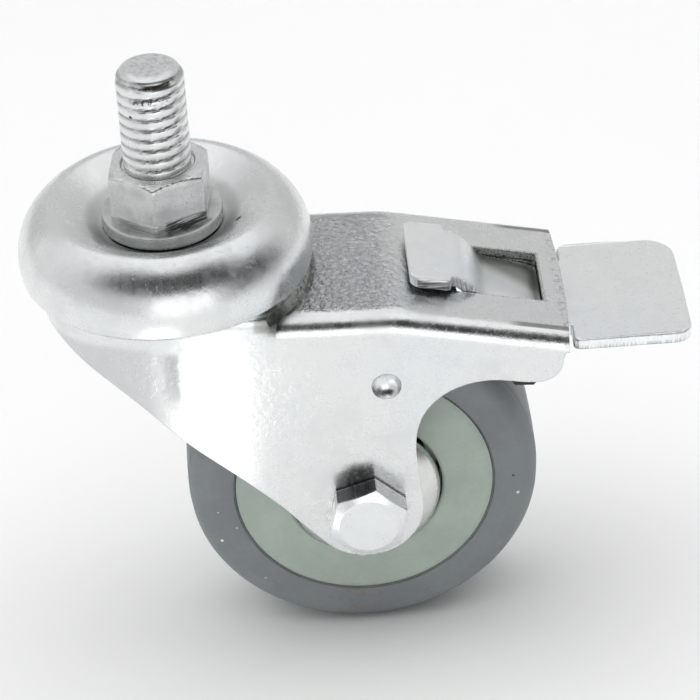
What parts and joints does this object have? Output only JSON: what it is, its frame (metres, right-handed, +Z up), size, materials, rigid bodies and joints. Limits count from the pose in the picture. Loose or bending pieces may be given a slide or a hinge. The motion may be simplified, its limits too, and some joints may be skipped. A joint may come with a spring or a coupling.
{
  "type": "swivel castor",
  "caption": "Small threaded-stem swivel castor with a grey wheel, a double ball race head and a foot brake.",
  "frame": {"origin": "on the stem axis in the mounting shoulder, the top face of the hexagon", "axes": "+Z up along the stem, +X towards the trailing wheel and the foot plate, +Y along the axle away from the bolt head"},
  "size_m": [0.0922, 0.0437, 0.0909],
  "materials": {
    "stem_steel": "bright zinc plated turned steel",
    "pressed_zinc": "bright zinc plated pressed steel",
    "ball_steel": "polished bearing steel",
    "race_steel": "ground bearing steel",
    "tyre_grey": "grey non-marking rubber, satin",
    "hub_grey": "grey-green moulded plastic, satin",
    "cage_plastic": "natural moulded plastic",
    "bolt_zinc": "zinc plated fastener",
    "insert_nylon": "blue nylon locking ring",
    "lever_zinc": "bright zinc plated pressed steel",
    "shoe_plastic": "black moulded plastic"
  },
  "bodies": {
    "stem_body": {"threaded_stem": "stem_steel", "upper_cup": "pressed_zinc", "lower_race": "race_steel"},
    "swivel": {"fork": "pressed_zinc", "near_dust_cap": "pressed_zinc", "far_dust_cap": "pressed_zinc", "axle_sleeve": "race_steel", "bearing_inner_ring": "race_steel", "axle_bolt": "bolt_zinc", "axle_washer": "bolt_zinc", "axle_nut": "bolt_zinc", "nut_insert": "insert_nylon"},
    "wheel": {"tyre": "tyre_grey", "hub_core": "hub_grey", "bearing_outer_ring": "race_steel"},
    "wheel_ball_ring": {"bearing_balls": "ball_steel", "bearing_cage": "cage_plastic"},
    "upper_ball_ring": {"upper_balls": "ball_steel"},
    "lower_ball_ring": {"lower_balls": "ball_steel"},
    "brake": {"brake_lever": "lever_zinc", "brake_shoe": "shoe_plastic"}
  },
  "joints": [
    {"name": "swivel", "type": "hinge", "parent": "stem_body", "child": "swivel", "pos_m": [0, 0, 0], "axis": [0, 0, 1], "continuous": true},
    {"name": "wheel_roll", "type": "hinge", "parent": "swivel", "child": "wheel", "pos_m": [0.02508, 0, -0.05089], "axis": [0, 1, 0], "continuous": true},
    {"name": "wheel_balls", "type": "hinge", "parent": "swivel", "child": "wheel_ball_ring", "pos_m": [0.02508, 0, -0.05089], "axis": [0, 1, 0], "continuous": true},
    {"name": "upper_balls", "type": "hinge", "parent": "stem_body", "child": "upper_ball_ring", "pos_m": [0, 0, 0], "axis": [0, 0, 1], "continuous": true},
    {"name": "lower_balls", "type": "hinge", "parent": "stem_body", "child": "lower_ball_ring", "pos_m": [0, 0, 0], "axis": [0, 0, 1], "continuous": true},
    {"name": "brake_pedal", "type": "hinge", "parent": "swivel", "child": "brake", "pos_m": [0.0288, 0, -0.0301], "axis": [0, 1, 0], "range_deg": [0, 4.5]}
  ],
  "couplings": [
    {"joint": "upper_balls", "follows": "swivel", "ratio": 0.5},
    {"joint": "lower_balls", "follows": "swivel", "ratio": 0.5},
    {"joint": "wheel_balls", "follows": "wheel_roll", "ratio": 0.62}
  ]
}
